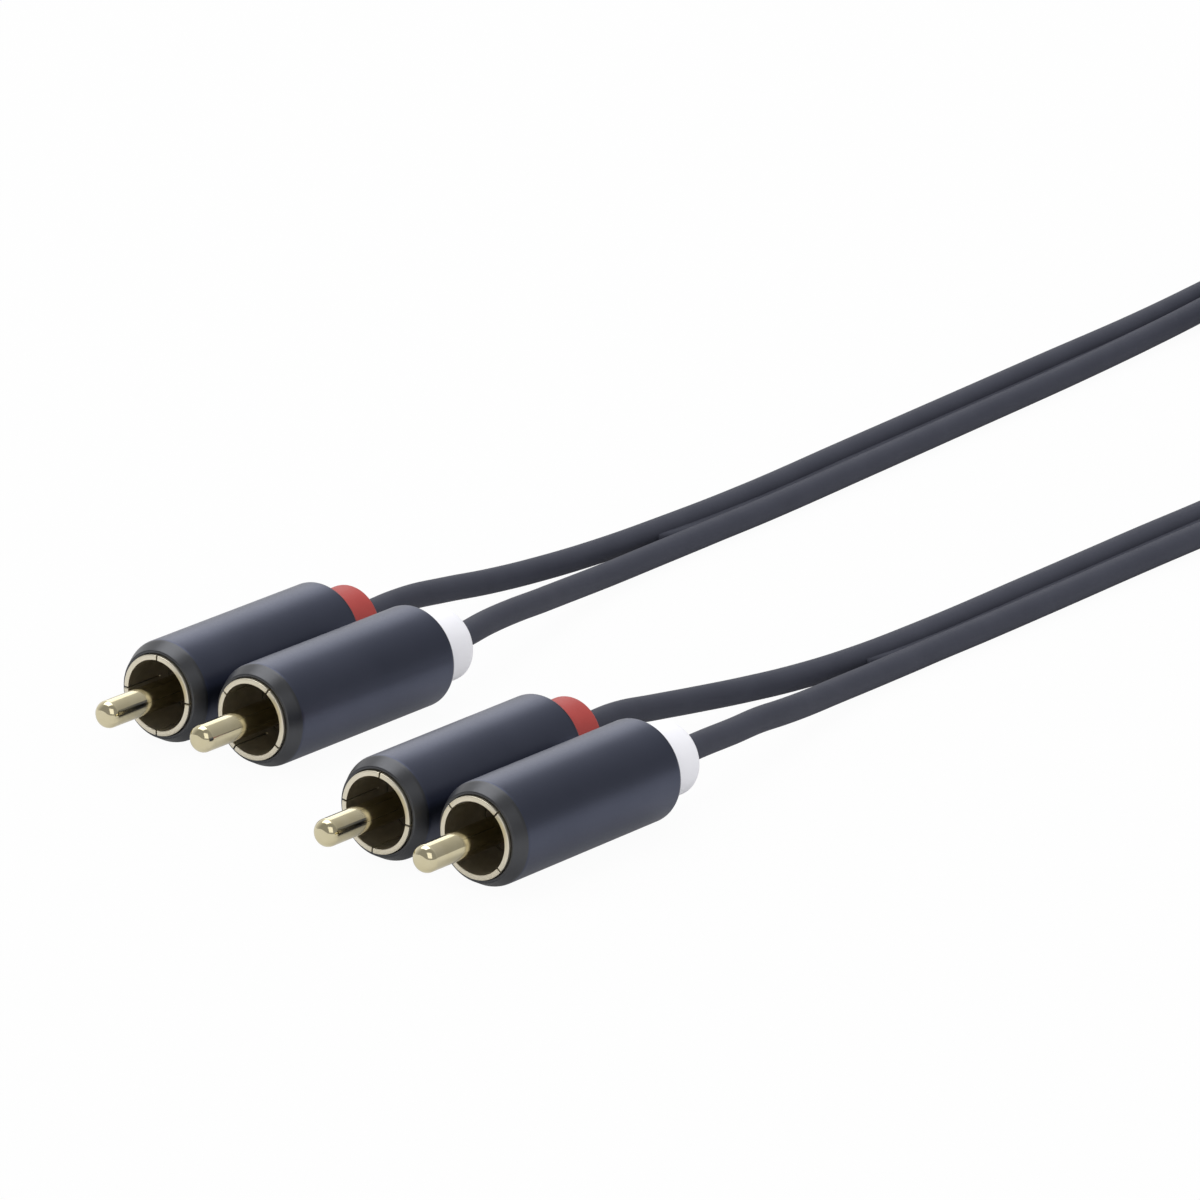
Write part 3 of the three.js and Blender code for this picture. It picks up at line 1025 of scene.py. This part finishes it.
anodised, tree = new_material("anodised_aluminium")
place = add_node(tree, "ShaderNodeTexCoord").outputs["Object"]
dye = drifting_colour(tree, place, DYE_DRIFT_MM, "#4a4e5d", "#565a6a")
# The faces of the cone and the front get a plainer, less blue grey of about the same lightness.
collar_faces = add_node(tree, "ShaderNodeAttribute", attribute_name="collar")
skin = add_node(
    tree,
    "ShaderNodeMix",
    {0: collar_faces.outputs["Fac"], 6: dye, 7: linear("#525356")},
    data_type="RGBA",
)
gloss, bumps = grained(
    tree, place, BLASTED_GRAIN_MM, detail=3.0, rough=(0.32, 0.44), relief=(0.12, 0.02)
)
shader = add_node(
    tree,
    "ShaderNodeBsdfPrincipled",
    {"Base Color": skin.outputs[2], "Metallic": 1.0, "Roughness": gloss, "Normal": bumps},
)
add_node(tree, "ShaderNodeOutputMaterial", {"Surface": shader.outputs[0]})
print(anodised.name, "has", len(tree.nodes), "nodes")

# %% [markdown]
# ### Gold plate
#
# Contacts and pins are brass with a thin, pale gold plate, with fine marks along the axis of the
# plug, which come from pushing it into jacks. The marks are noise that is stretched along X.
# The turned pin is polished, and the pressed contact is duller. The contact's gold is painted
# paler and lighter than the pin's, to stand for the brighter light on its rim.

# %% Gold plate
PLATE_DRIFT_MM = 3
MARK_MM = 0.25
MARK_STRETCH = (0.08, 1.0, 1.0)


def gold_plate(name, light, dark, rough):
    material, tree = new_material(name)
    place = add_node(tree, "ShaderNodeTexCoord").outputs["Object"]
    plate = drifting_colour(tree, place, PLATE_DRIFT_MM, dark, light)
    along_axis = add_node(tree, "ShaderNodeMapping", {"Vector": place, "Scale": MARK_STRETCH})
    gloss, marks = grained(
        tree, along_axis.outputs[0], MARK_MM, detail=4.0, rough=rough, relief=(0.1, 0.01)
    )
    shader = add_node(
        tree,
        "ShaderNodeBsdfPrincipled",
        {"Base Color": plate, "Metallic": 1.0, "Roughness": gloss, "Normal": marks},
    )
    add_node(tree, "ShaderNodeOutputMaterial", {"Surface": shader.outputs[0]})
    print(name, "has a roughness of", rough)
    return material


pin_gold = gold_plate("polished_gold_plate", "#e3dabd", "#cdc29b", (0.07, 0.16))
# Painted light: the contact's gold is a lighter, paler copy of the pin's, for the light on its
# rim.
contact_gold_painted_lighter = gold_plate("satin_gold_plate_painted_lighter", "#ede6d5", "#ded5bd", (0.3, 0.44))

# %% [markdown]
# ### Moulded plastics
#
# Sleeves, lead jackets and insulators are moulded or drawn plastics, and differ in colour, gloss
# and grain. One function makes them all. Their colour drifts over about a dozen grains, and the
# jacket has less shine than the others, because a soft drawn jacket is dull.

# %% Plastics
PLASTIC_IOR = 1.53
GRAINS_A_DRIFT = 12


def plastic(name, light, dark, rough, grain_mm, depth_mm, shine=0.5):
    material, tree = new_material(name)
    place = add_node(tree, "ShaderNodeTexCoord").outputs["Object"]
    colour = drifting_colour(tree, place, GRAINS_A_DRIFT * grain_mm, dark, light)
    gloss, bumps = grained(
        tree, place, grain_mm, detail=4.0, rough=rough, relief=(0.25, depth_mm)
    )
    shader = add_node(
        tree,
        "ShaderNodeBsdfPrincipled",
        {
            "Base Color": colour,
            "Roughness": gloss,
            "IOR": PLASTIC_IOR,
            "Specular IOR Level": shine,
            "Normal": bumps,
        },
    )
    add_node(tree, "ShaderNodeOutputMaterial", {"Surface": shader.outputs[0]})
    print(name, "has grains of", grain_mm, "mm")
    return material


red_pvc = plastic("soft_red_pvc", "#b03e38", "#a13531", (0.5, 0.62), 0.3, 0.03)
white_pvc = plastic("soft_white_pvc", "#f2f2f6", "#eaeaf1", (0.5, 0.62), 0.3, 0.03)
jacket = plastic("lead_jacket_pvc", "#42444f", "#393b46", (0.62, 0.74), 0.35, 0.04, shine=0.2)
nylon = plastic("dark_nylon", "#43392b", "#332b20", (0.45, 0.6), 0.3, 0.02)
polythene = plastic("core_polythene", "#e6e0d2", "#d6cfbf", (0.4, 0.55), 0.3, 0.02)

# %% [markdown]
# ### Woven strap
#
# The straps are woven nylon. Real threads cross each other about every 0.7 mm, which is too fine
# to show, so they are drawn about 1.4 mm apart. Two sets of fine waves, one along the strap and
# one across it, make the crossing threads. The waves are turned with the strap, so that they
# follow its edges. At a scale of one, a wave texture repeats after a tenth of pi.

# %% Crossing threads
THREAD_MM = 1.3854
WAVE_SCALE = math.pi / 10 * scale_for(THREAD_MM)


def crossing_threads(tree, turn):
    """Waves along the three axes. Those on X and Z make the ribs round the band."""
    place = add_node(tree, "ShaderNodeTexCoord").outputs["Object"]
    with_strap = add_node(
        tree, "ShaderNodeMapping", {"Vector": place, "Rotation": (0, 0, -turn)}
    )
    waves = {}
    for axis in ("X", "Y", "Z"):
        wave = add_node(
            tree,
            "ShaderNodeTexWave",
            {"Vector": with_strap.outputs[0], "Scale": WAVE_SCALE},
            bands_direction=axis,
        )
        waves[axis] = wave.outputs["Fac"]
    ribs = add_node(tree, "ShaderNodeMath", {0: waves["X"], 1: waves["Z"]}, operation="MULTIPLY")
    crossing = add_node(
        tree, "ShaderNodeMath", {0: ribs.outputs[0], 1: waves["Y"]}, operation="MAXIMUM"
    )
    return crossing.outputs[0]


# %% Woven strap
THREAD_RELIEF_MM = 0.1


def woven(name, turn):
    material, tree = new_material(name)
    threads = crossing_threads(tree, turn)
    shade = add_node(
        tree,
        "ShaderNodeMix",
        {0: threads, 6: linear("#121214"), 7: linear("#26262a")},
        data_type="RGBA",
    )
    relief = add_node(
        tree,
        "ShaderNodeBump",
        {"Height": threads, "Strength": 0.6, "Distance": THREAD_RELIEF_MM * MM},
    )
    shader = add_node(
        tree,
        "ShaderNodeBsdfPrincipled",
        {
            "Base Color": shade.outputs[2],
            "Roughness": 0.85,
            "Sheen Weight": 0.3,
            "Sheen Roughness": 0.5,
            "Normal": relief.outputs[0],
        },
    )
    add_node(tree, "ShaderNodeOutputMaterial", {"Surface": shader.outputs[0]})
    return material


# %% [markdown]
# ### Dress every piece
#
# The pieces of a plug get their finish by their kind, and the sleeve by its channel. Both leads
# and the web share one jacket. The cores are the only solids left, and get their finish too.


# %% Dress the pieces
def dress(piece, material):
    piece.data.materials.clear()
    piece.data.materials.append(material)


FINISHES = {"barrel": anodised, "contact": contact_gold_painted_lighter, "insulator": nylon, "pin": pin_gold}
for (plug, kind), piece in made.items():
    sleeve_pvc = red_pvc if plug.endswith("red") else white_pvc
    dress(piece, FINISHES.get(kind, sleeve_pvc))
for piece in (red_lead, white_lead, web):
    dress(piece, jacket)
for strap, degrees in zip(straps, STRAP_ANGLES):
    dress(strap, woven(f"woven_nylon_{degrees}", math.radians(degrees)))
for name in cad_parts:
    if name.endswith("_core"):
        dress(bpy.data.objects[name], polythene)
print("materials:", len(bpy.data.materials))

# %% [markdown]
# ## Floor and world
#
# The cable lies on a white card in front of a white backdrop. The camera, and what mirrors or
# lets through the view, sees them as plain white, while the light on the object stays at a plain
# level. The card's own colour is a pale grey and its glow makes it white to the camera, so that
# it keeps a little of the shadow.


# %% The share of a white glow
def seen_share(tree, straight, mirrored):
    """How much of a white glow each ray sees: straight, or else mirrored or let through."""
    path = add_node(tree, "ShaderNodeLightPath")
    either = add_node(
        tree,
        "ShaderNodeMath",
        {0: path.outputs["Is Glossy Ray"], 1: path.outputs["Is Transmission Ray"]},
        operation="MAXIMUM",
    )
    by_mirror = add_node(
        tree, "ShaderNodeMath", {0: either.outputs[0], 1: mirrored}, operation="MULTIPLY"
    )
    by_eye = add_node(
        tree,
        "ShaderNodeMath",
        {0: path.outputs["Is Camera Ray"], 1: straight},
        operation="MULTIPLY",
    )
    share = add_node(
        tree,
        "ShaderNodeMath",
        {0: by_eye.outputs[0], 1: by_mirror.outputs[0]},
        operation="MAXIMUM",
    )
    return share.outputs[0]


# %% Floor
FLOOR_SIZE = 6.0
CARD_GLOW = 0.96
MIRRORED_GLOW = 0.25
WHITE = (1, 1, 1, 1)

bpy.ops.object.select_all(action="DESELECT")
bpy.ops.mesh.primitive_plane_add(size=FLOOR_SIZE, location=(0, 0, 0))
floor = bpy.context.object
floor.name = "floor"
card, tree = new_material("white_card")
card_face = add_node(tree, "ShaderNodeBsdfDiffuse", {"Color": linear("#d2d2d2")})
card_white = add_node(tree, "ShaderNodeEmission", {"Color": WHITE, "Strength": 1.0})
card_mix = add_node(
    tree,
    "ShaderNodeMixShader",
    {
        0: seen_share(tree, CARD_GLOW, MIRRORED_GLOW),
        1: card_face.outputs[0],
        2: card_white.outputs[0],
    },
)
add_node(tree, "ShaderNodeOutputMaterial", {"Surface": card_mix.outputs[0]})
dress(floor, card)
print("the card is", FLOOR_SIZE, "m wide")

# %% [markdown]
# The room behind the camera is dimmer than the backdrop, and polished metal shows that: a pin
# is bright along its top, where it mirrors the backdrop, and darker on the side that faces the
# room. So what is mirrored goes slowly from white at the back to grey in front. A dark screen
# stands past the leads, and draws a dark line round the rear edges of the barrels.

# %% The light from all sides
SOFT_LIGHT = 0.78

world = bpy.data.worlds.new("studio")
world.use_nodes = True
bpy.context.scene.world = world
tree = world.node_tree
tree.nodes.clear()
soft_light = add_node(tree, "ShaderNodeBackground", {"Color": WHITE, "Strength": SOFT_LIGHT})
print("light from all sides:", SOFT_LIGHT)

# %% What polished metal mirrors
ROOM_LIGHT = 0.34
SCREEN_LIGHT = 0.08
BACKDROP_SIDE = (math.cos(VIEW_TURN), math.sin(VIEW_TURN), 0.0)
SCREEN_SIDE = (1.0, 0.0, 0.0)
looking_at = add_node(tree, "ShaderNodeTexCoord").outputs["Generated"]


def light_by_side(side, nearness, light):
    """A light that changes as a ray looks more to one side, over a range of nearness to it."""
    towards = add_node(
        tree, "ShaderNodeVectorMath", {0: looking_at, 1: side}, operation="DOT_PRODUCT"
    )
    change = add_node(
        tree,
        "ShaderNodeMapRange",
        {
            "Value": towards.outputs["Value"],
            "From Min": nearness[0],
            "From Max": nearness[1],
            "To Min": light[0],
            "To Max": light[1],
        },
    )
    return change.outputs[0]


room = light_by_side(BACKDROP_SIDE, nearness=(-0.1, 0.95), light=(ROOM_LIGHT, 1.0))
screen = light_by_side(SCREEN_SIDE, nearness=(0.65, 0.95), light=(1.0, SCREEN_LIGHT))
around = add_node(tree, "ShaderNodeMath", {0: room, 1: screen}, operation="MULTIPLY")
mirrored = add_node(
    tree, "ShaderNodeBackground", {"Color": WHITE, "Strength": around.outputs[0]}
)
print("mirrored light: room", ROOM_LIGHT, "and screen", SCREEN_LIGHT)

# %% Join what each ray sees
white_back = add_node(tree, "ShaderNodeBackground", {"Color": WHITE, "Strength": 1.0})
unseen_mix = add_node(
    tree,
    "ShaderNodeMixShader",
    {0: seen_share(tree, 1.0, 1.0), 1: soft_light.outputs[0], 2: mirrored.outputs[0]},
)
straight = add_node(tree, "ShaderNodeLightPath").outputs["Is Camera Ray"]
world_mix = add_node(
    tree,
    "ShaderNodeMixShader",
    {0: straight, 1: unseen_mix.outputs[0], 2: white_back.outputs[0]},
)
add_node(tree, "ShaderNodeOutputWorld", {"Surface": world_mix.outputs[0]})
print("nodes in the world:", len(tree.nodes))

# %% [markdown]
# Three large, soft lamps shine on the plugs. The strongest hangs above them, and the other two
# stand behind and in front. The Standard view shows the white of the card as plain white.

# %% Lamps
PLUGS_MIDDLE = (0.02, 0.0, 0.006)


def add_lamp(name, place, size, power):
    data = bpy.data.lights.new(name, "AREA")
    data.size = size
    data.energy = power
    lamp = bpy.data.objects.new(name, data)
    lamp.location = place
    aim = Vector(PLUGS_MIDDLE) - Vector(place)
    lamp.rotation_euler = aim.to_track_quat("-Z", "Y").to_euler()
    bpy.context.collection.objects.link(lamp)
    print(name, "shines with", power, "W")


add_lamp("top lamp", place=(0.1, 0.3, 0.9), size=0.8, power=4.3)
add_lamp("back lamp", place=(0.75, 0.55, 0.45), size=0.5, power=0.8)
add_lamp("front lamp", place=(-0.6, -0.65, 0.55), size=0.8, power=2.0)

bpy.context.scene.view_settings.view_transform = "Standard"

# %% [markdown]
# ## Finish
#
# Last, the view layer is brought up to date. The dressed model must stay inside the
# solid one's box.

# %% Finish
bpy.context.view_layer.update()
